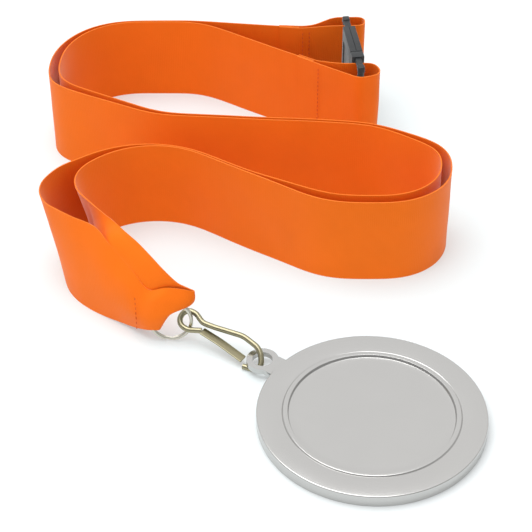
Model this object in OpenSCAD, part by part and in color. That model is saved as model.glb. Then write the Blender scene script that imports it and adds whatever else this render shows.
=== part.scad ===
// Sports medal on a satin lanyard, laid out on a table.
// Origin: centre of the medal's back face. +Z up, the medal's eye points to -X +Y.

/* [Medal] */
// Outside diameter of the medal
medal_d = 70; // [50:1:80]
// Thickness of the medal at its rim
medal_t = 4; // [3:0.5:6]
// Diameter of the seat for a printed insert
seat_d = 50; // [25:1:55]
// Depth of the seat below the rim
seat_depth = 0.6; // [0.3:0.1:1.5]
// Inside diameter of the medal's eye
eye_bore = 6.4; // [4:0.2:8]
// Thickness of the medal's eye
eye_t = 1.8; // [1.5:0.1:3]

/* [Ribbon] */
// Width of the ribbon
ribbon_w = 32; // [15:1:40]
// Thickness of the ribbon
ribbon_t = 0.6; // [0.4:0.1:1.2]

/* [Hardware] */
// Wire diameter of the snap hook
hook_wire = 1.8; // [1.2:0.1:2.5]
// Width of the hook's flat gate
gate_w = 3; // [2:0.2:4]
// Mean diameter of the split ring
ring_d = 13.2; // [10:0.2:20]
// Length between the buckle's two bars
buckle_l = 35; // [30:1:45]
// Height of the buckle, across the ribbon
buckle_h = 34; // [20:1:42]
// Thickness of the buckle
buckle_t = 4.6; // [3:0.1:6]

/* [Hidden] */
$fn = 64;
R = medal_d / 2;
eye_at = [-33.1, 23.9];
eye_r = eye_bore / 2 + 1.9;
eye_z = 2.1;
bead_r = 0.74 * R;
chamfer = 0.8;

hook_at = [-56.7, 38.5, 7.6];
hook_turn = [40, 10, -32.3];
hr = hook_wire / 2;
gate_lean = 50;
ring_at = [-62.4, 38.2, 7.6];
ring_wire = 1;
ring_h = 0.7;

buckle_at = [-1.5, 184.3];
buckle_turn = -83.4;
bar_d = 2.4;
slot = 5;
slot_z0 = 1.4;
slot_z1 = 32.2;
tongue_l = 15;
tongue_h = 20;
tongue_t = 1.7;
gap = 0.15;
loop_z0 = 1.7;
loop_h = 30.2;
thread = 0.3;

// plan corners of each standing strand: x, y and bend radius
plug_route = [
  [-80, 60.5, 0], [-102, 81.5, 14], [-73, 109, 28], [-12.7, 68.5, 30], [30.5, 68.5, 22],
  [30.5, 100.5, 14], [5.3, 115.5, 30], [-70, 121.7, 30], [-107.5, 143.5, 12], [-107.5, 184.6, 27],
  [-57.1, 184.6, 25], [-14.5, 156.1, 0]];
socket_route = [
  [-83.4, 54.5, 0], [-106.5, 68.5, 9], [-106.5, 84.5, 12], [-73.5, 110.4, 35],
  [-36, 85.3, 60], [-10.1, 72.5, 30], [27.3, 72.5, 19.5], [27.3, 98.5, 9], [5.7, 114.1, 25], [-72, 120.5, 30], [-111, 141.5, 12],
  [-111, 185.5, 30], [-60, 185.5, 40], [-19.5, 180.5, 0]];
plug_loop = [
  [-13.6, 155.9, 0], [-4, 153.9, 30], [7.5, 154.7, 3.6], [10.5, 147.5, 3.6], [2, 144.5, 4],
  [-13.2, 154.5, 0]];
socket_loop = [
  [-18.7, 180.5, 0], [-14, 181.5, 12], [-6, 187.7, 8], [5.4, 187.9, 2.2], [5.4, 182.3, 2.2],
  [-8, 181.9, 30], [-18.6, 179.5, 0]];

// corner geometry for a path whose corners are rounded
function vec(a, b) = [b[0] - a[0], b[1] - a[1]];
function unit(v) = v / norm(v);
function heading(a, b) = atan2(b[1] - a[1], b[0] - a[0]);
function turn(p, i) =
  let (d = heading(p[i], p[i + 1]) - heading(p[i - 1], p[i]))
  d > 180 ? d - 360 : d < -180 ? d + 360 : d;
function cut(p, i) =
  (i == 0 || i == len(p) - 1) ? 0 : p[i][2] * tan(abs(turn(p, i)) / 2);

// a path of straight bars and arcs; the child is a 2D section, x across and y up,
// and a second child, if there is one, is the section of the arcs
module path(p) {
  for (i = [0:len(p) - 2]) {
    h = heading(p[i], p[i + 1]);
    l = norm(vec(p[i], p[i + 1])) - cut(p, i) - cut(p, i + 1);
    if (l > 0.02)
      translate([p[i][0] + (cut(p, i) - 0.01) * cos(h),
          p[i][1] + (cut(p, i) - 0.01) * sin(h), 0])
        rotate([90, 0, h + 90]) linear_extrude(l + 0.02) children(0);
  }
  for (i = [1:len(p) - 2]) {
    h = heading(p[i - 1], p[i]);
    s = sign(turn(p, i));
    r = p[i][2];
    x = p[i][0] - cut(p, i) * cos(h) - s * r * sin(h);
    y = p[i][1] - cut(p, i) * sin(h) + s * r * cos(h);
    translate([x, y, 0]) rotate([0, 0, s > 0 ? h - 90 : h + 90 + turn(p, i)])
      rotate_extrude(angle = abs(turn(p, i)), $fn = 96)
        translate([r, 0]) children($children - 1);
  }
}

// arcs are made a hair smaller than the bars they join, so each joint is a clean step
module section(t, z0, h) {
  translate([-t / 2, z0]) square([t, h]);
}
module band(p, z0, h) path(p) {
  section(ribbon_t, z0, h);
  section(ribbon_t - 0.02, z0 + 0.01, h - 0.02);
}

module medal_body() color("silver") {
  difference() {
    union() {
      rotate_extrude($fn = 180)
        polygon([[0, 0], [R - chamfer, 0], [R, chamfer], [R, medal_t - chamfer],
          [R - chamfer, medal_t], [bead_r + 1.4, medal_t], [bead_r + 0.6, medal_t + 0.25],
          [bead_r - 0.4, medal_t + 0.25], [seat_d / 2, medal_t - seat_depth],
          [0, medal_t - seat_depth]]);
      translate([eye_at[0], eye_at[1], eye_z]) cylinder(h = eye_t, r = eye_r, $fn = 96);
      rotate([0, 0, 144.2]) translate([R - 2, -4, eye_z]) cube([4.4, 8, eye_t]);
    }
    translate([eye_at[0], eye_at[1], -1]) cylinder(h = 8, d = eye_bore, $fn = 96);
  }
}

module in_hook() translate(hook_at) rotate(hook_turn) children();

hook_route = [[5.2, -0.95, 0], [1.6, -2.85, 2.5], [-2.85, -2.85, 2.75],
  [-2.85, 2.85, 2.75], [1.4, 2.85, 3], [4.6, 1.4, 3], [9, 2.1, 12], [18.5, 4.2, 9],
  [25.6, 3.3, 5.5], [29.7, -2.6, 2.2], [22.2, -4.35, 0]];
module snap_hook_wire() color("darkkhaki") in_hook() path(hook_route) {
  circle(r = hr, $fn = 32);
  circle(r = hr - 0.005, $fn = 32);
}

module snap_hook_gate() color("tan") in_hook() {
  path([[5.8, -0.95, 0], [13, -1.2, 60], [22.4, -2.2, 0]]) {
    rotate(gate_lean) section(0.6, -gate_w / 2, gate_w);
    rotate(gate_lean) section(0.58, -gate_w / 2 + 0.01, gate_w - 0.02);
  }
}

module split_ring() color("gainsboro") translate(ring_at) rotate([80, 0, 0]) {
  for (k = [0, 1]) translate([0, 0, k ? 0.05 : -ring_h - 0.05])
    rotate([0, 0, k ? -100 : -80]) rotate_extrude(angle = 335, $fn = 96)
      translate([ring_d / 2 - ring_wire / 2, 0]) square([ring_wire, ring_h]);
  translate([0, 0, -0.2]) rotate([0, 0, -76]) rotate_extrude(angle = 8, $fn = 96)
    translate([ring_d / 2 - ring_wire / 2, 0]) square([ring_wire, 0.4]);
}

// the gathered end: a tube round the ring and a tapering web behind it
fold_st = [[-82.2, 56.3, 0, 32, 6.8], [-78.4, 51.1, 0, 28, 6.4], [-74.6, 46.4, 0.6, 22, 5.8],
  [-71.4, 42.7, 1.4, 17.5, 5.2], [-68.6, 40.7, 3.2, 14.6, 5]];
module slab(s) translate([s[0], s[1], s[2]]) rotate([0, 0, 38.5])
  translate([-s[4] / 2, -0.1, 0]) cube([s[4], 0.2, s[3] - s[2]]);
module fold_web() for (i = [0:len(fold_st) - 2]) hull() {
  slab(fold_st[i]);
  slab(fold_st[i + 1]);
}
module ring_end_fold() color("orangered") difference() {
  union() {
    fold_web();
    translate(ring_at) rotate([80, 0, 0]) rotate([0, 0, 75])
      rotate_extrude(angle = 115, $fn = 72) translate([ring_d / 2, 0]) circle(r = 2.6);
  }
  translate(ring_at) rotate([80, 0, 0]) rotate_extrude($fn = 72)
    translate([ring_d / 2, 0]) circle(r = 1.98);
}

module plug_side_ribbon() color("orangered") band(plug_route, 0, ribbon_w);
module socket_side_ribbon() color("orangered") band(socket_route, 0, ribbon_w);
module plug_side_loop() color("orangered") band(plug_loop, loop_z0, loop_h);
module socket_side_loop() color("orangered") band(socket_loop, loop_z0, loop_h);

module in_buckle() translate([buckle_at[0], buckle_at[1], 0]) rotate([0, 0, buckle_turn]) children();

module half_frame(front) {
  // bar, two arms and the block they join; front is where the block begins
  cylinder(h = buckle_h, d = bar_d);
  for (z = [0, slot_z1]) translate([0, -bar_d / 2, z])
    cube([front, bar_d, z == 0 ? slot_z0 : buckle_h - slot_z1]);
}

module buckle_socket() color("dimgray") in_buckle() difference() {
  union() {
    half_frame(slot + 1.5);
    translate([slot + 1.4, -buckle_t / 2, 0]) cube([tongue_l + 3.2, buckle_t, buckle_h]);
  }
  translate([slot + 4.4, -tongue_t / 2 - gap, (buckle_h - tongue_h) / 2 - gap])
    cube([tongue_l + 4, tongue_t + 2 * gap, tongue_h + 2 * gap]);
}

module buckle_plug() color("dimgray") in_buckle() {
  translate([buckle_l, 0, 0]) rotate([0, 0, 180]) half_frame(slot + 1.5);
  translate([slot + tongue_l + 4.9, -buckle_t / 2, 0])
    cube([buckle_l - 2 * slot - tongue_l - 6.2, buckle_t, buckle_h]);
  translate([slot + 4.9, -tongue_t / 2, (buckle_h - tongue_h) / 2])
    cube([tongue_l + 1, tongue_t, tongue_h]);
}

// rows of thread, standing a little proud of both sides of the ribbon
module row(at, h, t, z0, z1, n) translate([at[0], at[1], 0]) rotate([0, 0, h])
  for (k = [0:n - 1]) translate([-thread / 2, -t / 2, z0 + k * (z1 - z0) / n])
    cube([thread, t, 0.62 * (z1 - z0) / n]);

module plug_loop_stitching() color("coral") row([-12.4, 154.8], -20, 3.2, 2.5, 31, 12);
module socket_loop_stitching() color("coral") {
  row([-18.2, 180.1], 8, 2.4, 2.5, 31, 12);
  row([-15.8, 180.9], 12, 2.9, 2.5, 31, 12);
}
module ring_end_stitching() color("coral") row([-74.6, 46.4], -51.6, 5.6, 3, 20, 7);

medal_body();
snap_hook_wire();
snap_hook_gate();
split_ring();
ring_end_fold();
ring_end_stitching();
plug_side_ribbon();
socket_side_ribbon();
plug_side_loop();
plug_loop_stitching();
socket_side_loop();
socket_loop_stitching();
buckle_plug();
buckle_socket();
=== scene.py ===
"""Award medal on a satin ribbon lanyard, with a snap hook, a split ring and a breakaway buckle."""

import math

import bpy
from mathutils import Euler, Matrix, Vector, noise


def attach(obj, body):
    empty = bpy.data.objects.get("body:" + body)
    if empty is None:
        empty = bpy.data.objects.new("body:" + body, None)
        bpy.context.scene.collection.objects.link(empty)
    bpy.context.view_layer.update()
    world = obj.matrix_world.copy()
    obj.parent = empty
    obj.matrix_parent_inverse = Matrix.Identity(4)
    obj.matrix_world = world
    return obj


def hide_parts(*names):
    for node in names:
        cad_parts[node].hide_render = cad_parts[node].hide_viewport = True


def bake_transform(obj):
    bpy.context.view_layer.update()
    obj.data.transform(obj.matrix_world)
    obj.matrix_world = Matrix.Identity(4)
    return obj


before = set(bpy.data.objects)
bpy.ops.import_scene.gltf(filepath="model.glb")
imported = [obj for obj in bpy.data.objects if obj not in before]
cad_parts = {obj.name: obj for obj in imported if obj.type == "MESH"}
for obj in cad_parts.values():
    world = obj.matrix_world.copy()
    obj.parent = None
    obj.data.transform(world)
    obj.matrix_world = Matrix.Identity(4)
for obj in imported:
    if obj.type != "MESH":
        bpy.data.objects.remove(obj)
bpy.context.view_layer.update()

bl_info = {
    "name": "Medal on a ribbon lanyard",
    "version": (1, 0, 0),
    "blender": (4, 5, 0),
    "location": "3D View > Sidebar > Medal",
    "description": "Builds a nickel-plated medal with its satin ribbon, hook, ring and buckle",
    "category": "Object",
}

MM = 0.001

# The ribbon stands on edge. Each strand follows a plan of corners: x, y and bend radius, in mm.
PLUG_PLAN = [
    (-90.6, 70.6, 0), (-102, 81.5, 14), (-73, 109, 28), (-12.7, 68.5, 30), (30.5, 68.5, 22),
    (30.5, 100.5, 14), (5.3, 115.5, 30), (-70, 121.7, 30), (-107.5, 143.5, 12),
    (-107.5, 184.6, 27), (-57.1, 184.6, 25), (-45, 176.5, 0),
]
PLUG_END_PLAN = [(-45, 176.5, 0), (-14.5, 156.1, 0)]
SOCKET_PLAN = [
    (-95, 93.45, 0), (-73.5, 110.4, 35), (-36, 85.3, 60), (-10.1, 72.5, 30),
    (27.3, 72.5, 19.5), (27.3, 98.5, 9), (5.7, 114.1, 25), (-72, 120.5, 30),
    (-111, 141.5, 12), (-111, 185.5, 30), (-60, 185.5, 40), (-19.5, 180.5, 0),
]
PLUG_LOOP_PLAN = [
    (-19.8, 160.6, 0), (-13.4, 156.2, 8), (-4, 153.9, 30), (7.5, 154.7, 3.6),
    (10.5, 147.5, 3.6), (2, 144.5, 4), (-12.9, 154.4, 16), (-20.4, 159.5, 0),
]
SOCKET_LOOP_PLAN = [
    (-27, 181.95, 0), (-18.4, 181.2, 10), (-14, 181.9, 10), (-6, 187.7, 8), (5.4, 187.9, 2.2),
    (5.4, 182.3, 2.2), (-8, 181.6, 30), (-18.4, 179.8, 20), (-27, 180.85, 0),
]

# The gathered end. Each station is a line across the ribbon from its lower to its upper edge:
# the front layer runs to the ring, turns over it, and the back layer runs away from it.
GATHER = [
    [(-95, 93.45, 0), (-95, 93.45, 11), (-95, 93.45, 22), (-95, 93.45, 32)],
    [(-98.8, 88.8, 0), (-99.4, 88.8, 11), (-100.4, 88.6, 22), (-101.2, 88.4, 32)],
    [(-101, 81.8, 0), (-102.2, 81.6, 11), (-104, 81.2, 22), (-105.6, 81, 32)],
    [(-100.8, 74.6, 0), (-102.2, 74.6, 11), (-104.2, 74.4, 22), (-106.2, 74.4, 32)],
    [(-99.2, 67.4, 0), (-100.6, 67.4, 11), (-102.4, 67.8, 22), (-103.8, 68.6, 32)],
    [(-97.2, 61.8, 0), (-98.2, 62.2, 11), (-99.2, 63.4, 22), (-99.8, 65, 32)],
    [(-93.8, 56.8, 0), (-94.4, 57.4, 11), (-94.8, 59, 22), (-94.6, 61, 32)],
    [(-89.4, 52.6, 0), (-90, 53.2, 11), (-89.6, 54.8, 22), (-86.8, 56.2, 31.6)],
    [(-84.2, 48.8, 0.2), (-85, 48.6, 10.5), (-84.6, 49.8, 20), (-82.2, 52, 28.4)],
    [(-79.2, 45.4, 0.8), (-80, 44.6, 10), (-79.4, 45.5, 18.4), (-76.8, 47.3, 24.4)],
    [(-75.4, 42.2, 1.8), (-75.9, 41.2, 9.4), (-75.2, 42.1, 16.6), (-73.2, 43.9, 21.7)],
    [(-72.4, 39.4, 3.2), (-72.2, 38.4, 8.8), (-71, 39.4, 14.2), (-69.2, 41.1, 18)],
    [(-70, 37.4, 4.4), (-68.7, 36.7, 9.6), (-66.2, 37.9, 16.2), (-63.2, 40, 19.6)],
    [(-68, 36.7, 4.9), (-65.2, 36.3, 10.4), (-60, 37.5, 14.8), (-57.8, 40, 18.9)],
    [(-66.2, 36.8, 4.9), (-62.6, 36.9, 11), (-57, 38.2, 13.6), (-55.1, 40.2, 17.9)],
    [(-65.7, 38.6, 4.6), (-61.9, 39, 11.2), (-55.4, 39.9, 13.3), (-54.7, 40.4, 17.8)],
    [(-66.2, 40.7, 4.7), (-62.6, 40.9, 11), (-56, 40.9, 13.8), (-55.1, 40.7, 18)],
    [(-67.8, 41.7, 3.6), (-65.4, 41.8, 10.6), (-60, 41.4, 15.8), (-57.4, 40.8, 19.2)],
    [(-69.7, 42.9, 2.3), (-68, 42.3, 9.6), (-64.6, 41.2, 17), (-60.2, 41, 21)],
    [(-72.2, 44.8, 1.2), (-71.2, 43, 9), (-69.2, 41.4, 17.4), (-64.5, 42.8, 24.9)],
    [(-74.8, 47, 0.5), (-74.6, 45.2, 10), (-73.1, 43.9, 21.3), (-68.4, 46.1, 27.6)],
    [(-78, 49.6, 0), (-78.4, 48, 11), (-76.9, 47.2, 23.9), (-72.5, 49.9, 29.9)],
    [(-81.8, 52.3, 0), (-82.6, 51.4, 11), (-82.1, 51.8, 27.2), (-77.2, 54.2, 31.6)],
    [(-83.6, 56.5, 0), (-84.8, 56.2, 11), (-84.6, 56.8, 26.4), (-80.8, 58.6, 32)],
    [(-84.4, 61.6, 0), (-86, 61.4, 11), (-86.6, 61.4, 24), (-84.4, 62.8, 32)],
    [(-84.6, 67.4, 0), (-86.2, 67, 11), (-87.8, 66.8, 22), (-87.8, 67, 32)],
    [(-84.2, 77.2, 0), (-86.83, 74.95, 10.67), (-88.71, 72.78, 21.33), (-90.6, 70.6, 32)],
]
GATHER_STEPS = 5  # columns of mesh between two stations
GATHER_ROWS = 9  # rows of mesh between two points of a station
RIBBON_TOP = 32.0
RIBBON_ROWS = 9
STRAND_STEP = 1.6
STRAND_PASSES = 10
LOOP_STEP = 0.6
LOOP_PASSES = 3
WAVE_SIZE = 22
WAVE_HEIGHT = 0.5
TWIST = 9.2  # how far the lower edge swings out where the strand leaves the gathered end
TWIST_SHARE = 1 / 12  # how much of the strand it takes to stand upright
LOOP_LIFT = 1.7  # how high a loop's lower edge lies over the buckle's bar

# Name, body and node of each thread, and its rows: place x and y, heading in degrees, half the
# depth through the cloth, height of the first stitch, distance between two and number of them.
THREADS = [
    ("plug_loop_thread", "plug", "plug_loop_stitching",
     [(-12.4, 154.8, -20, 1.4, 3.475, 1.75, 16)]),
    ("socket_loop_thread", "lanyard", "socket_loop_stitching",
     [(-18.2, 180.1, 8, 1.0, 3.475, 1.75, 16), (-15.8, 180.9, 12, 1.2, 3.475, 1.75, 16)]),
    ("ring_end_thread", "lanyard", "ring_end_stitching", [(-71.6, 41, -40, 2.9, 4, 2, 7)]),
]
STITCH_WIDE = 0.16
STITCH_LONG = 0.62

HOOK_PLAN = [
    (5.6, -0.95, 0), (1.6, -2.85, 2.5), (-2.85, -2.85, 2.75), (-2.85, 2.85, 2.75),
    (1.4, 2.85, 3), (4.6, 1.4, 3), (9, 2.1, 12), (18.5, 4.2, 9), (25.6, 3.3, 5.5),
    (29.7, -2.6, 2.2), (23.4, -4.1, 0),
]
GATE_PLAN = [(5.8, -0.95, 0), (13, -1.2, 60), (22.4, -2.2, 0)]
GATE_LEAN = math.radians(50)
GATE_WIDE = 3.0
GATE_THICK = 0.55
GATE_EDGE = 0.14
HOOK_WIRE = 0.92
HOOK_STEP = 0.35
GATE_STEP = 0.7
HOOK_PLACE = (-56.7, 38.5, 7.6)
HOOK_TURN = (40, 10, -32.3)
RING_PLACE = (-62.4, 38.2, 7.6)
RING_LEAN = math.radians(80)
RING_RADIUS = 6.6
RING_WIRE = 0.56
RING_FLAT = 0.62  # how much of its height the rolled wire keeps
RING_TURNS = 1.93
RING_START = math.radians(-80)
RING_POINTS = 150
BUCKLE_PLACE = (-1.5, 184.3, 0)
BUCKLE_TURN = -83.4

# Sizes in mm.
MEDAL_RADIUS = 35.0
MEDAL_THICK = 4.0
# From the rim inwards, how far each step goes in and up: flat rim, groove, bead, bead's top, seat.
MEDAL_STEPS = [(7.35, 0), (0.14, -0.14), (0.26, 0.4), (1.4, 0.02), (0.3, -0.88), (2, 0)]
MEDAL_EDGE = 0.09
EYE_PLACE = (-33.1, 23.9)
EYE_TURN = 144.2
EYE_LOW = 2.1
EYE_THICK = 1.8
EYE_BORE = 3.2
EYE_RADIUS = 5.1
EYE_EDGE = 0.28
NECK_LOW = (33, -4)
NECK_HIGH = (37.4, 4)

BUCKLE_HIGH = 34.0
BUCKLE_LONG = 35.0
BUCKLE_THICK = 4.6
BAR_RADIUS = 1.2
BAR_HIGH = 32.9
KNOB_LOW = (-1.6, -1.35, 31.4)
KNOB_HIGH = (1.4, 1.35, BUCKLE_HIGH)
KNOB_EDGE = 0.7
ARM_HALF = 1.15
ARM_REACH = 7.4
ARM_HEIGHTS = [(0, 1.4), (32.0, 33.4)]
# Along the buckle, from the socket's bar to the plug's: where each block begins and ends.
SOCKET_SPAN = (6.4, 24.6)
PLUG_SPAN = (24.9, 28.7)
PANEL_SPAN = (8.6, 22.4)
POCKET_SPAN = (9.4, 26)
TONGUE_SPAN = (9.9, 25.6)
PANEL_MARGIN = 5
PANEL_DEPTH = 0.35
POCKET_HALF = 1.0
POCKET_MARGIN = 6.85
TONGUE_HALF = 0.85
TONGUE_MARGIN = 7
PARTING_HALF = 0.12
PARTING_DEPTH = 0.3
DETAIL_EDGE = 0.3

TARGET = (-32, 75.5, 0)
# name, place and size in metres, and power as a share of the key's
LAMPS = [
    ("key", (-0.25, 0.1, 1.0), 0.9, 1.0),
    ("left_fill", (-0.7, -0.6, 0.35), 0.6, 0.22),
    ("right_fill", (0.5, -0.8, 0.35), 0.6, 0.2),
]


# ---------------------------------------------------------------- user settings


class MedalMetalSettings(bpy.types.PropertyGroup):
    """Colours and finish of the medal, hook and ring."""

    plate: bpy.props.StringProperty(
        name="Medal plate", description="Colour of the medal's nickel plate", default="#C3C2C0"
    )
    steel: bpy.props.StringProperty(
        name="Hook steel", description="Colour of the plated spring steel", default="#A59E82"
    )
    ring: bpy.props.StringProperty(
        name="Ring steel", description="Colour of the split ring", default="#D8D4C6"
    )
    rim_round: bpy.props.FloatProperty(
        name="Rim rounding",
        description="Radius of the medal's rounded rim",
        default=0.35 * MM,
        min=0.1 * MM,
        max=1.5 * MM,
        unit="LENGTH",
    )


class MedalRibbonSettings(bpy.types.PropertyGroup):
    """Sizes and colours of the ribbon."""

    width: bpy.props.FloatProperty(
        name="Width", description="Width of the ribbon", default=32 * MM, unit="LENGTH"
    )
    thickness: bpy.props.FloatProperty(
        name="Thickness", description="Thickness of the ribbon", default=0.36 * MM, unit="LENGTH"
    )
    satin: bpy.props.StringProperty(
        name="Satin", description="Colour of the satin", default="#F5741E"
    )
    selvedge: bpy.props.StringProperty(
        name="Selvedge", description="Colour of the woven edges", default="#EE7A28"
    )
    thread: bpy.props.StringProperty(
        name="Thread", description="Colour of the sewing thread", default="#C0501C"
    )
    rib: bpy.props.FloatProperty(
        name="Rib spacing",
        description="Distance between two ribs of the weave",
        default=0.7 * MM,
        unit="LENGTH",
    )


class MedalBuckleSettings(bpy.types.PropertyGroup):
    """Finish of the safety buckle."""

    plastic: bpy.props.StringProperty(
        name="Plastic", description="Colour of the moulded acetal", default="#222426"
    )
    edge_round: bpy.props.FloatProperty(
        name="Edge rounding",
        description="Radius of the moulded edges",
        default=0.2 * MM,
        unit="LENGTH",
    )


class MedalStageSettings(bpy.types.PropertyGroup):
    """Floor, light and camera."""

    floor: bpy.props.StringProperty(
        name="Floor", description="Colour of the floor", default="#D6DADB"
    )
    # painted light: a cooler floor colour under the ribbon that cancels the orange light in the shadows
    # there
    floor_painted_cool: bpy.props.StringProperty(
        name="Floor near the ribbon", description="Colour under the ribbon", default="#B6C4C6"
    )
    sky: bpy.props.FloatProperty(
        name="Sky", description="Strength of the light from all around", default=1.1
    )
    key: bpy.props.FloatProperty(
        name="Key", description="Power of the overhead light", default=8.0, unit="POWER"
    )
    distance: bpy.props.FloatProperty(
        name="Distance",
        description="From the camera to what it looks at",
        default=0.5443,
        unit="LENGTH",
    )
    elevation: bpy.props.FloatProperty(
        name="Elevation",
        description="Height of the camera above the horizon",
        default=math.radians(38.6),
        subtype="ANGLE",
    )
    lens: bpy.props.FloatProperty(
        name="Lens", description="Focal length in millimetres", default=108.27
    )


SETTINGS = {
    "medal_metal": MedalMetalSettings,
    "medal_ribbon": MedalRibbonSettings,
    "medal_buckle": MedalBuckleSettings,
    "medal_stage": MedalStageSettings,
}


# ---------------------------------------------------------------- materials


def linear(hex_colour):
    """An sRGB hex colour as linear red, green, blue and alpha."""
    parts = [int(hex_colour[i : i + 2], 16) / 255 for i in (1, 3, 5)]
    return [c / 12.92 if c <= 0.04045 else ((c + 0.055) / 1.055) ** 2.4 for c in parts] + [1.0]


def add_node(tree, kind, inputs=None, **settings):
    """A node with its settings, and its inputs set to a value or linked to a socket."""
    node = tree.nodes.new(kind)
    for name, value in settings.items():
        setattr(node, name, value)
    for name, value in (inputs or {}).items():
        if isinstance(value, bpy.types.NodeSocket):
            tree.links.new(value, node.inputs[name])
        else:
            node.inputs[name].default_value = value
    return node


def new_material(name):
    material = bpy.data.materials.new(name)
    material.use_nodes = True
    material.node_tree.nodes.clear()
    return material, material.node_tree


def output(tree, shader):
    add_node(tree, "ShaderNodeOutputMaterial", {"Surface": shader.outputs[0]})


def math_node(tree, operation, a, b=0.0):
    return add_node(tree, "ShaderNodeMath", {0: a, 1: b}, operation=operation).outputs[0]


def grain(tree, size, detail=2.0):
    """Noise on the object's own coordinates, with grains of a size in mm."""
    place = add_node(tree, "ShaderNodeTexCoord").outputs["Object"]
    inputs = {"Vector": place, "Scale": 1 / (size * MM), "Detail": detail}
    return add_node(tree, "ShaderNodeTexNoise", inputs).outputs["Fac"]


def span(tree, value, low, high):
    """A 0 to 1 value moved to the range from low to high."""
    inputs = {"Value": value, "To Min": low, "To Max": high}
    return add_node(tree, "ShaderNodeMapRange", inputs).outputs[0]


def nickel_plate():
    """Bright nickel over struck zinc: a clean mirror, very slightly softened by handling."""
    material, tree = new_material("nickel_plate_satin_bright")
    settings = bpy.context.scene.medal_metal
    soft = span(tree, grain(tree, 9), 0.15, 0.24)
    orange_peel = add_node(
        tree, "ShaderNodeBump", {"Height": grain(tree, 4, 1), "Strength": 0.05, "Distance": 0.04 * MM}
    )
    shader = add_node(
        tree,
        "ShaderNodeBsdfPrincipled",
        {
            "Base Color": linear(settings.plate),
            "Metallic": 1.0,
            "Roughness": soft,
            "Normal": orange_peel.outputs[0],
        },
    )
    output(tree, shader)
    return material


def plated_wire(name, colour, grit):
    """Drawn spring steel with a thin warm nickel plate: lengthwise die marks, small dull spots."""
    material, tree = new_material(name)
    spots = span(tree, grain(tree, 1.6, 2), 0.26, 0.36)
    marks = add_node(
        tree, "ShaderNodeBump", {"Height": grain(tree, grit, 1), "Strength": 0.1, "Distance": 0.02 * MM}
    )
    dark = [c * 0.72 for c in linear(colour)[:3]] + [1.0]
    tint = mix_colours(tree, span(tree, grain(tree, 2.4, 3), 0, 0.6), linear(colour), dark)
    shader = add_node(
        tree,
        "ShaderNodeBsdfPrincipled",
        {
            "Base Color": tint,
            "Metallic": 1.0,
            "Roughness": spots,
            "Normal": marks.outputs[0],
        },
    )
    output(tree, shader)
    return material


def mix_colours(tree, factor, a, b):
    """Colour a where factor is 0 and b where it is 1."""
    node = add_node(tree, "ShaderNodeMix", data_type="RGBA")
    for socket, value in ((node.inputs[0], factor), (node.inputs[6], a), (node.inputs[7], b)):
        if isinstance(value, bpy.types.NodeSocket):
            tree.links.new(value, socket)
        else:
            socket.default_value = value
    return node.outputs[2]


def satin_ribbon():
    """Polyester satin: smooth lengthwise floats with a soft broad shine over fine cross ribs."""
    material, tree = new_material("polyester_satin_woven")
    settings = bpy.context.scene.medal_ribbon
    flat = add_node(tree, "ShaderNodeUVMap", uv_map="Ribbon").outputs[0]
    parts = add_node(tree, "ShaderNodeSeparateXYZ", {0: flat}).outputs
    across, along = parts[0], parts[1]
    # real picks are 0.25 mm apart, and are drawn wider so that they show
    rib = math_node(tree, "SINE", math_node(tree, "MULTIPLY", along, 2 * math.pi / settings.rib))
    floats = math_node(
        tree, "SINE", math_node(tree, "MULTIPLY", across, 2 * math.pi / (0.8 * settings.rib))
    )
    weave = math_node(tree, "ADD", rib, math_node(tree, "MULTIPLY", floats, 0.5))
    fuzz = math_node(tree, "MULTIPLY", grain(tree, 0.35, 2), 1.2)
    bump = add_node(
        tree,
        "ShaderNodeBump",
        {"Height": math_node(tree, "ADD", weave, fuzz), "Strength": 0.35, "Distance": 0.03 * MM},
    )
    satin = linear(settings.satin)
    deep = [c * 0.86 for c in satin[:3]] + [1.0]
    cloth = mix_colours(tree, span(tree, grain(tree, 14, 3), 0, 0.8), satin, deep)
    cloth = mix_colours(tree, span(tree, weave, 0, 0.12), cloth, deep)
    half = settings.width / 2
    from_middle = math_node(tree, "ABSOLUTE", math_node(tree, "SUBTRACT", across, half))
    edge = math_node(tree, "GREATER_THAN", from_middle, half - 0.25 * MM)
    colour = mix_colours(tree, edge, cloth, linear(settings.selvedge))
    shader = add_node(
        tree,
        "ShaderNodeBsdfPrincipled",
        {
            "Base Color": colour,
            "Roughness": span(tree, grain(tree, 5, 2), 0.42, 0.5),
            "Specular IOR Level": 0.22,
            "Specular Tint": linear("#FF8A30"),
            "Anisotropic": 0.6,
            "Sheen Weight": 0.06,
            "Sheen Roughness": 0.4,
            "Sheen Tint": linear("#FF8A30"),
            "Normal": bump.outputs[0],
        },
    )
    output(tree, shader)
    return material


def sewing_thread():
    """Spun polyester thread: matt, with a fine twist along each stitch."""
    material, tree = new_material("polyester_thread_twisted")
    colour = linear(bpy.context.scene.medal_ribbon.thread)
    pale = [min(1, c * 1.5) for c in colour[:3]] + [1.0]
    twist = add_node(
        tree, "ShaderNodeBump", {"Height": grain(tree, 0.2, 2), "Strength": 0.5, "Distance": 0.05 * MM}
    )
    shader = add_node(
        tree,
        "ShaderNodeBsdfPrincipled",
        {
            "Base Color": mix_colours(tree, grain(tree, 0.3, 2), colour, pale),
            "Roughness": 0.8,
            "Specular IOR Level": 0.2,
            "Normal": twist.outputs[0],
        },
    )
    output(tree, shader)
    return material


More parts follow.
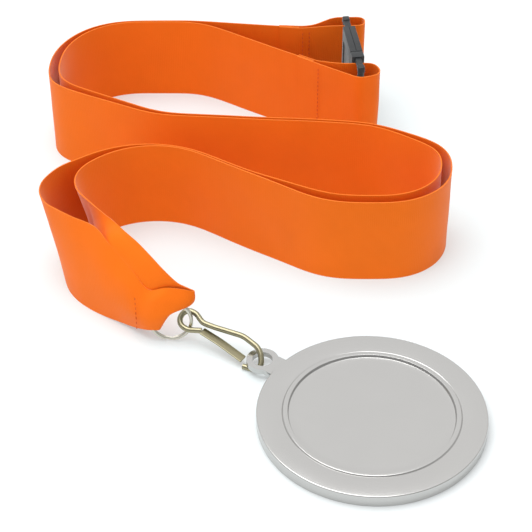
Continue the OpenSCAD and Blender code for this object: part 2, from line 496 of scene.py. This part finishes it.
def moulded_acetal():
    """Injection-moulded black acetal: a fine spark-eroded grain with a low, waxy shine."""
    material, tree = new_material("acetal_moulded_black")
    colour = linear(bpy.context.scene.medal_buckle.plastic)
    pale = [c * 1.5 for c in colour[:3]] + [1.0]
    bump = add_node(
        tree, "ShaderNodeBump", {"Height": grain(tree, 0.25, 3), "Strength": 0.3, "Distance": 0.03 * MM}
    )
    shader = add_node(
        tree,
        "ShaderNodeBsdfPrincipled",
        {
            "Base Color": mix_colours(tree, grain(tree, 2.5, 3), colour, pale),
            "Roughness": span(tree, grain(tree, 1.2, 2), 0.38, 0.5),
            "IOR": 1.48,
            "Normal": bump.outputs[0],
        },
    )
    output(tree, shader)
    return material


made_materials = {}


def once(maker, *args):
    """The material that maker makes, made the first time it is asked for."""
    key = maker.__name__ + "".join(str(a) for a in args[:1])
    if key not in made_materials:
        made_materials[key] = maker(*args)
    return made_materials[key]


# ---------------------------------------------------------------- modelling helpers


def deselect():
    bpy.ops.object.select_all(action="DESELECT")


def select_only(obj):
    deselect()
    obj.select_set(True)
    bpy.context.view_layer.objects.active = obj


def add(primitive, name, **sizes):
    """A new primitive, selected alone, with its place and size in its mesh."""
    deselect()
    primitive(**sizes)
    obj = bpy.context.active_object
    obj.name = name
    obj.data.name = name
    bpy.ops.object.transform_apply(location=True, rotation=True, scale=True)
    return obj


def block(name, low, high):
    """A box between two corners in mm."""
    low, high = Vector(low) * MM, Vector(high) * MM
    obj = add(bpy.ops.mesh.primitive_cube_add, name, size=1, location=(low + high) / 2)
    obj.data.transform(
        Matrix.Translation((low + high) / 2)
        @ Matrix.Diagonal((*(high - low), 1))
        @ Matrix.Translation(-(low + high) / 2)
    )
    return obj


def rod(name, at, radius, low, high, sides=48):
    """An upright cylinder in mm."""
    return add(
        bpy.ops.mesh.primitive_cylinder_add,
        name,
        vertices=sides,
        radius=radius * MM,
        depth=(high - low) * MM,
        location=(at[0] * MM, at[1] * MM, (low + high) / 2 * MM),
    )


def apply_modifier(obj, kind, **settings):
    """Adds a modifier with its settings and applies it."""
    select_only(obj)
    modifier = obj.modifiers.new(kind.title(), kind)
    for name, value in settings.items():
        setattr(modifier, name, value)
    bpy.ops.object.modifier_apply(modifier=modifier.name)


def round_edges(obj, width, segments=3, angle=35):
    """Rounds every edge that is sharper than angle degrees."""
    apply_modifier(
        obj,
        "BEVEL",
        width=width,
        segments=segments,
        limit_method="ANGLE",
        angle_limit=math.radians(angle),
        use_clamp_overlap=True,
    )


def combine(obj, other, operation="UNION"):
    """Joins another solid to obj, or cuts it out, and removes it."""
    apply_modifier(obj, "BOOLEAN", object=other, operation=operation, solver="EXACT")
    bpy.data.objects.remove(other)


def smooth(obj, angle):
    select_only(obj)
    bpy.ops.object.shade_smooth_by_angle(angle=math.radians(angle))


def tidy_normals(obj):
    """Merges doubled points and turns every face outwards."""
    select_only(obj)
    bpy.ops.object.mode_set(mode="EDIT")
    bpy.ops.mesh.select_all(action="SELECT")
    bpy.ops.mesh.remove_doubles(threshold=0.001 * MM)
    bpy.ops.mesh.normals_make_consistent(inside=False)
    bpy.ops.object.mode_set(mode="OBJECT")


def pick(obj, faces=None, edges=None):
    """Leaves obj in edit mode with only the faces or edges that pass the test selected."""
    select_only(obj)
    bpy.ops.object.mode_set(mode="EDIT")
    bpy.ops.mesh.select_mode(type="FACE" if faces else "EDGE")
    bpy.ops.mesh.select_all(action="DESELECT")
    bpy.ops.object.mode_set(mode="OBJECT")
    points = obj.data.vertices
    for item in obj.data.polygons if faces else obj.data.edges:
        spots = [points[i].co for i in item.vertices]
        item.select = faces(item) if faces else edges(spots)
    bpy.ops.object.mode_set(mode="EDIT")


def hand_over(obj, material, body, slot, *nodes):
    """Gives a finished piece its material and body, hides the CAD nodes that it stands for, and keeps
    satin ribbon pieces out of glossy reflections.
    """
    if slot == "satin_ribbon":
        obj.visible_glossy = False  # keeps the plate a clean grey
    obj.data.materials.clear()
    obj.data.materials.append(material)
    if body:
        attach(obj, body)
    if nodes:
        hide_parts(*nodes)


# ---------------------------------------------------------------- paths and sheets


def plan_points(plan, step, passes=0):
    """Evenly spaced points in mm along a plan whose corners are rounded to their radii."""
    corners = [Vector((x, y)) for x, y, _ in plan]
    radii = [r for _, _, r in plan]
    dense = [corners[0]]
    for i in range(1, len(corners) - 1):
        into = (corners[i] - corners[i - 1]).normalized()
        out = (corners[i + 1] - corners[i]).normalized()
        turn = into.angle_signed(out)
        cut = radii[i] * math.tan(abs(turn) / 2)
        start = corners[i] - into * cut
        side = Vector((into.y, -into.x)) * (1 if turn > 0 else -1)
        centre = start + side * radii[i]
        arm = start - centre
        count = max(3, math.ceil(abs(turn) * radii[i] / step))
        for k in range(count + 1):
            spin = Matrix.Rotation(-turn * k / count, 2)
            dense.append(centre + spin @ arm)
    dense.append(corners[-1])
    points = even(dense, step)
    for _ in range(passes):
        middle = [(a + b * 2 + c) / 4 for a, b, c in zip(points, points[1:], points[2:])]
        points = [points[0], *middle, points[-1]]
    return points


def even(points, step):
    """The same line with its points evenly spaced."""
    runs = [0.0]
    for a, b in zip(points, points[1:]):
        runs.append(runs[-1] + (b - a).length)
    count = max(2, round(runs[-1] / step))
    spaced, k = [], 0
    for i in range(count + 1):
        at = runs[-1] * i / count
        while k < len(runs) - 2 and runs[k + 1] < at:
            k += 1
        share = (at - runs[k]) / max(runs[k + 1] - runs[k], 1e-9)
        spaced.append(points[k].lerp(points[k + 1], min(1, share)))
    return spaced


def curve_through(stations, steps):
    """A smooth curve through all the stations, with that many steps between two of them."""
    made = []
    ends = [stations[0], *stations, stations[-1]]
    for a, b, c, d in zip(ends, ends[1:], ends[2:], ends[3:]):
        for k in range(steps):
            t = k / steps
            made.append(
                (b * 2 + (c - a) * t + (a * 2 - b * 5 + c * 4 - d) * t**2
                 + (b * 3 - a - c * 3 + d) * t**3) / 2
            )
    return [*made, stations[-1]]


def cloth(name, columns, thickness, width):
    """A sheet from columns of points in mm, each from the lower to the upper edge."""
    rows = len(columns[0])
    points = [p * MM for column in columns for p in column]
    faces = []
    for i in range(len(columns) - 1):
        for j in range(rows - 1):
            a = i * rows + j
            faces.append((a, a + rows, a + rows + 1, a + 1))
    mesh = bpy.data.meshes.new(name)
    mesh.from_pydata(points, [], faces)
    middle = rows // 2
    runs = [0.0]
    for a, b in zip(columns, columns[1:]):
        runs.append(runs[-1] + (b[middle] - a[middle]).length * MM)
    flat = mesh.uv_layers.new(name="Ribbon")
    for loop in mesh.loops:
        i, j = divmod(loop.vertex_index, rows)
        flat.data[loop.index].uv = (width * j / (rows - 1), runs[i])
    obj = bpy.data.objects.new(name, mesh)
    bpy.context.scene.collection.objects.link(obj)
    apply_modifier(obj, "SOLIDIFY", thickness=thickness, offset=0, use_even_offset=True)
    smooth(obj, 50)
    return obj, runs[-1]


def tube(name, points, radius, sides):
    """A round wire along points in metres, as a closed mesh."""
    deselect()
    bpy.ops.curve.primitive_nurbs_path_add()
    obj = bpy.context.active_object
    obj.name = name
    obj.location = (0, 0, 0)
    line = obj.data
    line.splines.clear()
    spline = line.splines.new("POLY")
    spline.points.add(len(points) - 1)
    for spot, point in zip(spline.points, points):
        spot.co = (*point, 1)
    line.dimensions = "3D"
    line.bevel_depth = radius
    line.bevel_resolution = sides
    line.use_fill_caps = True
    bpy.ops.object.convert(target="MESH")
    tidy_normals(obj)
    smooth(obj, 60)
    return obj


def in_hook(x, y, z=0.0):
    """The place in the frame, in metres, of a point in mm in the hook's own frame."""
    turn = Euler([math.radians(a) for a in HOOK_TURN]).to_matrix()
    return (Vector(HOOK_PLACE) + turn @ Vector((x, y, z))) * MM


def in_buckle(obj):
    """Moves a piece's mesh from the buckle's own frame to its place."""
    place = Matrix.Translation(Vector(BUCKLE_PLACE) * MM)
    obj.data.transform(place @ Matrix.Rotation(math.radians(BUCKLE_TURN), 4, "Z"))


def wobble(x, y):
    """A gentle unevenness of the cloth, the same each time."""
    return WAVE_HEIGHT * noise.noise(Vector((x / WAVE_SIZE, y / WAVE_SIZE, 3.7)))


def standing(plan, step, passes, low=lambda share: 0.0, lean=lambda share: 0.0):
    """Columns of a ribbon that stands on edge along a plan. low and lean take the share of the
    length from 0 to 1, and lean moves the lower edge to the right of the way it runs."""
    points = plan_points(plan, step, passes)
    columns = []
    for i, p in enumerate(points):
        a, b = points[max(0, i - 1)], points[min(len(points) - 1, i + 1)]
        way = (b - a).normalized()
        left = Vector((-way.y, way.x))
        share = i / (len(points) - 1)
        bottom = low(share)
        column = []
        for j in range(RIBBON_ROWS):
            up = j / (RIBBON_ROWS - 1)
            fade = math.sin(math.pi * share) ** 0.5
            push = fade * wobble(p.x + 40 * up, p.y) - lean(share) * (1 - up)
            column.append(Vector((*(p + left * push), bottom + (RIBBON_TOP - bottom) * up)))
        columns.append(column)
    return columns


def smoothstep(x):
    x = max(0.0, min(1.0, x))
    return x * x * (3 - 2 * x)


# ---------------------------------------------------------------- pieces


class MEDAL_OT_stage(bpy.types.Operator):
    """Adds the camera, the floor and the light"""

    bl_idname = "medal.stage"
    bl_label = "Stage"

    def execute(self, context):
        stage = context.scene.medal_stage
        target = Vector(TARGET) * MM
        back = Vector((0, -math.cos(stage.elevation), math.sin(stage.elevation)))
        deselect()
        bpy.ops.object.camera_add(location=target + back * stage.distance)
        camera = context.active_object
        camera.rotation_euler = (math.pi / 2 - stage.elevation, 0, 0)
        camera.data.lens = stage.lens
        camera.data.sensor_width = 36
        camera.data.clip_start = 0.01
        camera.data.clip_end = 50
        context.scene.camera = camera
        context.scene.view_settings.view_transform = "Standard"

        floor = add(bpy.ops.mesh.primitive_plane_add, "floor", size=6)
        material, tree = new_material("board_matt_painted_glow")
        # painted light: the board glows a little under the ribbon, a painted lift of the shadows there,
        # and is painted a cooler colour there so that the orange light that falls on it stays out of
        # the shadows
        place = add_node(tree, "ShaderNodeTexCoord").outputs["Object"]
        reach = {"Vector": place, "Location": (0.3, -0.8, 0), "Scale": (7, 7, 7)}
        spot = add_node(tree, "ShaderNodeMapping", reach).outputs[0]
        near = add_node(tree, "ShaderNodeTexGradient", {0: spot}, gradient_type="SPHERICAL")
        glow = span(tree, near.outputs["Fac"], 0, 1.5)
        shader = add_node(
            tree,
            "ShaderNodeBsdfPrincipled",
            {
                "Base Color": mix_colours(tree, glow, linear(stage.floor), linear(stage.floor_painted_cool)),
                "Roughness": 0.9,
                "Specular IOR Level": 0.0,
                "Emission Color": linear("#FFFFFF"),
                # painted glow: the floor emits light, most of it under the ribbon
                "Emission Strength": span(tree, glow, 0.14, 0.38),
            },
        )
        output(tree, shader)
        floor.data.materials.append(material)

        context.scene.world = bpy.data.worlds.new("studio")
        context.scene.world.use_nodes = True
        tree = context.scene.world.node_tree
        tree.nodes.clear()
        way = add_node(tree, "ShaderNodeTexCoord").outputs["Generated"]
        parts = add_node(tree, "ShaderNodeSeparateXYZ", {0: way}).outputs
        rear = math_node(tree, "MULTIPLY", parts[1], 0.6)
        bright = math_node(tree, "ADD", rear, math_node(tree, "MULTIPLY", parts[2], 0.75))
        ramp = add_node(tree, "ShaderNodeValToRGB", {"Fac": bright})
        ramp.color_ramp.elements[0].position = 0.0
        ramp.color_ramp.elements[0].color = (0.36, 0.36, 0.36, 1)
        ramp.color_ramp.elements[1].position = 0.9
        ramp.color_ramp.elements[1].color = (0.93, 0.93, 0.93, 1)
        light = add_node(
            tree, "ShaderNodeBackground", {"Color": ramp.outputs[0], "Strength": stage.sky}
        )
        add_node(tree, "ShaderNodeOutputWorld", {"Surface": light.outputs[0]})

        for name, place, size, share in LAMPS:
            deselect()
            bpy.ops.object.light_add(type="AREA", location=place)
            lamp = context.active_object
            lamp.name = name
            lamp.data.size = size
            lamp.data.energy = stage.key * share
            lamp.visible_glossy = name == "key"  # the fills stay out of the metal's reflections
            lamp.rotation_euler = (target - Vector(place)).to_track_quat("-Z", "Y").to_euler()
        return {"FINISHED"}


class MEDAL_OT_disc(bpy.types.Operator):
    """Adds the struck medal with its raised bead, recessed centre and eye"""

    bl_idname = "medal.disc"
    bl_label = "Medal"

    def execute(self, context):
        rim_round = context.scene.medal_metal.rim_round
        radius = MEDAL_RADIUS * MM
        disc = rod("medal_plate", (0, 0), MEDAL_RADIUS, 0, MEDAL_THICK, 192)

        def on_rim(ends):
            return abs(ends[0].z - ends[1].z) < 1e-6 and ends[0].xy.length > 0.9 * radius

        pick(disc, edges=on_rim)
        bpy.ops.mesh.bevel(offset=rim_round, segments=4, profile=0.5, affect="EDGES")
        bpy.ops.object.mode_set(mode="OBJECT")
        pick(disc, faces=lambda face: face.normal.z > 0.99 and face.area > radius**2)
        for inward, up in MEDAL_STEPS:
            bpy.ops.mesh.inset(thickness=inward * MM, depth=up * MM)
        bpy.ops.object.mode_set(mode="OBJECT")
        round_edges(disc, MEDAL_EDGE * MM, 2, 25)

        eye = rod("medal_eye", EYE_PLACE, EYE_RADIUS, EYE_LOW, EYE_LOW + EYE_THICK, 64)
        neck = block("medal_neck", (*NECK_LOW, EYE_LOW), (*NECK_HIGH, EYE_LOW + EYE_THICK))
        neck.data.transform(Matrix.Rotation(math.radians(EYE_TURN), 4, "Z"))
        combine(eye, neck)
        combine(eye, rod("eye_bore", EYE_PLACE, EYE_BORE, -1, 8, 64), "DIFFERENCE")
        round_edges(eye, EYE_EDGE * MM, 3, 40)
        combine(disc, eye)
        tidy_normals(disc)
        smooth(disc, 30)
        hand_over(disc, once(nickel_plate), "medal", "plated_medal", "medal_body")
        return {"FINISHED"}


class MEDAL_OT_snap_hook(bpy.types.Operator):
    """Adds the bent wire of the snap hook and its flat spring gate"""

    bl_idname = "medal.snap_hook"
    bl_label = "Snap hook"

    def execute(self, context):
        steel = once(
            plated_wire, "spring_steel_nickel_plated", context.scene.medal_metal.steel, 3.0
        )
        points = [in_hook(*p) for p in plan_points(HOOK_PLAN, HOOK_STEP, 2)]
        wire = tube("snap_hook_bent_wire", points, HOOK_WIRE * MM, 6)
        hand_over(wire, steel, "hook", "hook_steel", "snap_hook_wire")

        columns = []
        sides = [GATE_WIDE * share for share in (-0.5, -0.25, 0, 0.25, 0.5)]
        lean, rise = math.sin(GATE_LEAN), math.cos(GATE_LEAN)
        for p in plan_points(GATE_PLAN, GATE_STEP):
            columns.append([in_hook(p.x, p.y - t * lean, t * rise) / MM for t in sides])
        gate, _ = cloth("snap_hook_spring_gate", columns, GATE_THICK * MM, GATE_WIDE * MM)
        round_edges(gate, GATE_EDGE * MM, 2, 50)
        tidy_normals(gate)
        smooth(gate, 40)
        hand_over(gate, steel, "gate", "hook_steel", "snap_hook_gate")
        return {"FINISHED"}


class MEDAL_OT_split_ring(bpy.types.Operator):
    """Adds the split ring as two turns of wire that step from one coil to the other"""

    bl_idname = "medal.split_ring"
    bl_label = "Split ring"

    def execute(self, context):
        points = []
        for i in range(RING_POINTS + 1):
            share = i / RING_POINTS
            angle = RING_START + 2 * math.pi * RING_TURNS * share
            coil = smoothstep((share - 0.5) * 14 + 0.5) - 0.5
            across, up = RING_RADIUS * math.cos(angle), RING_RADIUS * math.sin(angle)
            points.append(Vector((across, up, coil * 2.1 * RING_WIRE)) * MM)
        ring = tube("split_ring_coils", points, RING_WIRE * MM, 4)
        # the wire is rolled flat, and the ring stands up, leaning a little back
        ring.data.transform(
            Matrix.Translation(Vector(RING_PLACE) * MM)
            @ Matrix.Rotation(RING_LEAN, 4, "X")
            @ Matrix.Diagonal((1, 1, RING_FLAT, 1))
        )
        steel = once(plated_wire, "ring_steel_polished", context.scene.medal_metal.ring, 2.0)
        hand_over(ring, steel, "ring", "ring_steel", "split_ring")
        return {"FINISHED"}


class MEDAL_OT_strands(bpy.types.Operator):
    """Adds the two long strands of ribbon that stand on edge"""

    bl_idname = "medal.strands"
    bl_label = "Ribbon strands"

    def execute(self, context):
        ribbon = context.scene.medal_ribbon
        satin = once(satin_ribbon)

        def twist(share):
            return TWIST * (1 - smoothstep(share / TWIST_SHARE))

        def upright(share):
            return 0.0

        for name, plan, node, lean in (
            ("plug_side_strand", PLUG_PLAN, "plug_side_ribbon", twist),
            ("socket_side_strand", SOCKET_PLAN, "socket_side_ribbon", upright),
        ):
            strand, length = cloth(
                name,
                standing(plan, STRAND_STEP, STRAND_PASSES, lean=lean),
                ribbon.thickness,
                ribbon.width,
            )
            hand_over(strand, satin, "lanyard", "satin_ribbon", node)
        columns = standing(PLUG_END_PLAN, STRAND_STEP, 0)
        tail, length = cloth("plug_side_strand_end", columns, ribbon.thickness, ribbon.width)
        hand_over(tail, satin, None, "satin_ribbon")
        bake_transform(tail)
        return {"FINISHED"}


class MEDAL_OT_ring_end(bpy.types.Operator):
    """Adds the gathered end where both strands turn over the split ring"""

    bl_idname = "medal.ring_end"
    bl_label = "Gathered ribbon end"

    def execute(self, context):
        ribbon = context.scene.medal_ribbon
        stations = []
        for line in GATHER:
            stations.append(curve_through([Vector(p) for p in line], GATHER_ROWS))
        rows = [curve_through(list(row), GATHER_STEPS) for row in zip(*stations)]
        columns = [list(column) for column in zip(*rows)]
        piece, length = cloth("gathered_ring_end", columns, ribbon.thickness, ribbon.width)
        hand_over(piece, once(satin_ribbon), "lanyard", "satin_ribbon", "ring_end_fold")
        return {"FINISHED"}


class MEDAL_OT_loops(bpy.types.Operator):
    """Adds the sewn ribbon loops that hold the two buckle halves"""

    bl_idname = "medal.loops"
    bl_label = "Buckle loops"

    def execute(self, context):
        ribbon = context.scene.medal_ribbon

        def low(share):
            return LOOP_LIFT * smoothstep(min(share, 1 - share) * 6)

        for name, plan, body, node, rest in (
            ("plug_loop_ribbon", PLUG_LOOP_PLAN, "plug", "plug_side_loop", "buckle_plug_half"),
            ("socket_loop_ribbon", SOCKET_LOOP_PLAN, "lanyard", "socket_side_loop",
             "buckle_socket_half"),
        ):
            columns = standing(plan, LOOP_STEP, LOOP_PASSES, low=low)
            loop, length = cloth(name, columns, ribbon.thickness, ribbon.width)
            hand_over(loop, once(satin_ribbon), body, "satin_ribbon", node)
        return {"FINISHED"}


class MEDAL_OT_threads(bpy.types.Operator):
    """Adds the rows of sewing thread"""

    bl_idname = "medal.threads"
    bl_label = "Stitching"

    def execute(self, context):
        thread = once(sewing_thread)
        for name, body, node, rows in THREADS:
            stitches = []
            for x, y, heading, half, first, gap, count in rows:
                turn = math.radians(heading)
                side = Vector((-math.sin(turn), math.cos(turn)))
                for k in range(count):
                    for face in (-1, 1):
                        spot = Vector((x, y)) + side * half * face
                        stitch = add(
                            bpy.ops.mesh.primitive_uv_sphere_add,
                            name,
                            segments=8,
                            ring_count=6,
                            radius=1,
                            scale=(STITCH_WIDE * MM, STITCH_WIDE * MM, STITCH_LONG * MM),
                            location=(spot.x * MM, spot.y * MM, (first + gap * k) * MM),
                        )
                        stitches.append(stitch)
            deselect()
            for stitch in stitches:
                stitch.select_set(True)
            context.view_layer.objects.active = stitches[0]
            bpy.ops.object.join()
            row = context.active_object
            row.name = name
            smooth(row, 80)
            hand_over(row, thread, body, "sewing_thread", node)
        return {"FINISHED"}


def half_frame(name, flip=False):
    """Bar, knob end and the two arms that reach to the block, in the buckle's own frame."""
    bar = rod(name, (0, 0), BAR_RADIUS, 0, BAR_HIGH)
    knob = block("knob", KNOB_LOW, KNOB_HIGH)
    round_edges(knob, KNOB_EDGE * MM, 4)
    combine(bar, knob)
    for low, high in ARM_HEIGHTS:
        arm = block("arm", (0, -ARM_HALF, low), (ARM_REACH, ARM_HALF, high))
        round_edges(arm, DETAIL_EDGE * MM)
        combine(bar, arm)
    if flip:
        bar.data.transform(
            Matrix.Translation((BUCKLE_LONG * MM, 0, 0)) @ Matrix.Rotation(math.pi, 4, "Z")
        )
    return bar


def slab(name, span_along, y, margin):
    """A block of the buckle: its span along it, its y from and to, and its margin in height."""
    start, end = span_along
    return block(name, (start, y[0], margin), (end, y[1], BUCKLE_HIGH - margin))


class MEDAL_OT_buckle(bpy.types.Operator):
    """Adds the two halves of the breakaway buckle"""

    bl_idname = "medal.buckle"
    bl_label = "Breakaway buckle"

    def execute(self, context):
        soft = context.scene.medal_buckle.edge_round
        acetal = once(moulded_acetal)
        half = BUCKLE_THICK / 2

        socket = half_frame("buckle_socket_half")
        body = slab("socket_body", SOCKET_SPAN, (-half, half), 0)
        round_edges(body, soft)
        for side in (-half, half):
            depths = (side - PANEL_DEPTH, side + PANEL_DEPTH)
            panel = slab("panel", PANEL_SPAN, depths, PANEL_MARGIN)
            round_edges(panel, DETAIL_EDGE * MM, 2)
            combine(body, panel, "DIFFERENCE")
        groove = block(
            "parting",
            (SOCKET_SPAN[0] - 0.4, -PARTING_HALF, BUCKLE_HIGH - PARTING_DEPTH),
            (SOCKET_SPAN[1] + 0.4, PARTING_HALF, BUCKLE_HIGH + 1),
        )
        combine(body, groove, "DIFFERENCE")
        pocket = slab("pocket", POCKET_SPAN, (-POCKET_HALF, POCKET_HALF), POCKET_MARGIN)
        combine(body, pocket, "DIFFERENCE")
        combine(socket, body)

        plug = half_frame("buckle_plug_half", True)
        base = slab("plug_base", PLUG_SPAN, (-half, half), 0)
        round_edges(base, soft)
        tongue = slab("tongue", TONGUE_SPAN, (-TONGUE_HALF, TONGUE_HALF), TONGUE_MARGIN)
        round_edges(tongue, DETAIL_EDGE * MM)
        combine(base, tongue)
        combine(plug, base)

        for piece, part, node in (
            (socket, "lanyard", "buckle_socket"),
            (plug, "plug", "buckle_plug"),
        ):
            in_buckle(piece)
            tidy_normals(piece)
            smooth(piece, 35)
            hand_over(piece, acetal, part, "buckle_plastic", node)
        return {"FINISHED"}


OPERATORS = [
    MEDAL_OT_stage,
    MEDAL_OT_disc,
    MEDAL_OT_snap_hook,
    MEDAL_OT_split_ring,
    MEDAL_OT_strands,
    MEDAL_OT_ring_end,
    MEDAL_OT_loops,
    MEDAL_OT_threads,
    MEDAL_OT_buckle,
]


class MEDAL_PT_panel(bpy.types.Panel):
    """Lists the pieces and their settings"""

    bl_idname = "MEDAL_PT_panel"
    bl_label = "Medal"
    bl_space_type = "VIEW_3D"
    bl_region_type = "UI"
    bl_category = "Medal"

    def draw(self, context):
        for name, group in SETTINGS.items():
            box = self.layout.box()
            for setting in group.__annotations__:
                box.prop(getattr(context.scene, name), setting)
        for operator in OPERATORS:
            self.layout.operator(operator.bl_idname)


def register():
    for name, group in SETTINGS.items():
        bpy.utils.register_class(group)
        setattr(bpy.types.Scene, name, bpy.props.PointerProperty(type=group))
    for item in (*OPERATORS, MEDAL_PT_panel):
        bpy.utils.register_class(item)


def unregister():
    for item in reversed((*OPERATORS, MEDAL_PT_panel)):
        bpy.utils.unregister_class(item)
    for name, group in SETTINGS.items():
        delattr(bpy.types.Scene, name)
        bpy.utils.unregister_class(group)


def main():
    register()
    bpy.ops.medal.stage()
    bpy.ops.medal.disc()
    bpy.ops.medal.snap_hook()
    bpy.ops.medal.split_ring()
    bpy.ops.medal.strands()
    bpy.ops.medal.ring_end()
    bpy.ops.medal.loops()
    bpy.ops.medal.threads()
    bpy.ops.medal.buckle()


if __name__ == "__main__":
    main()
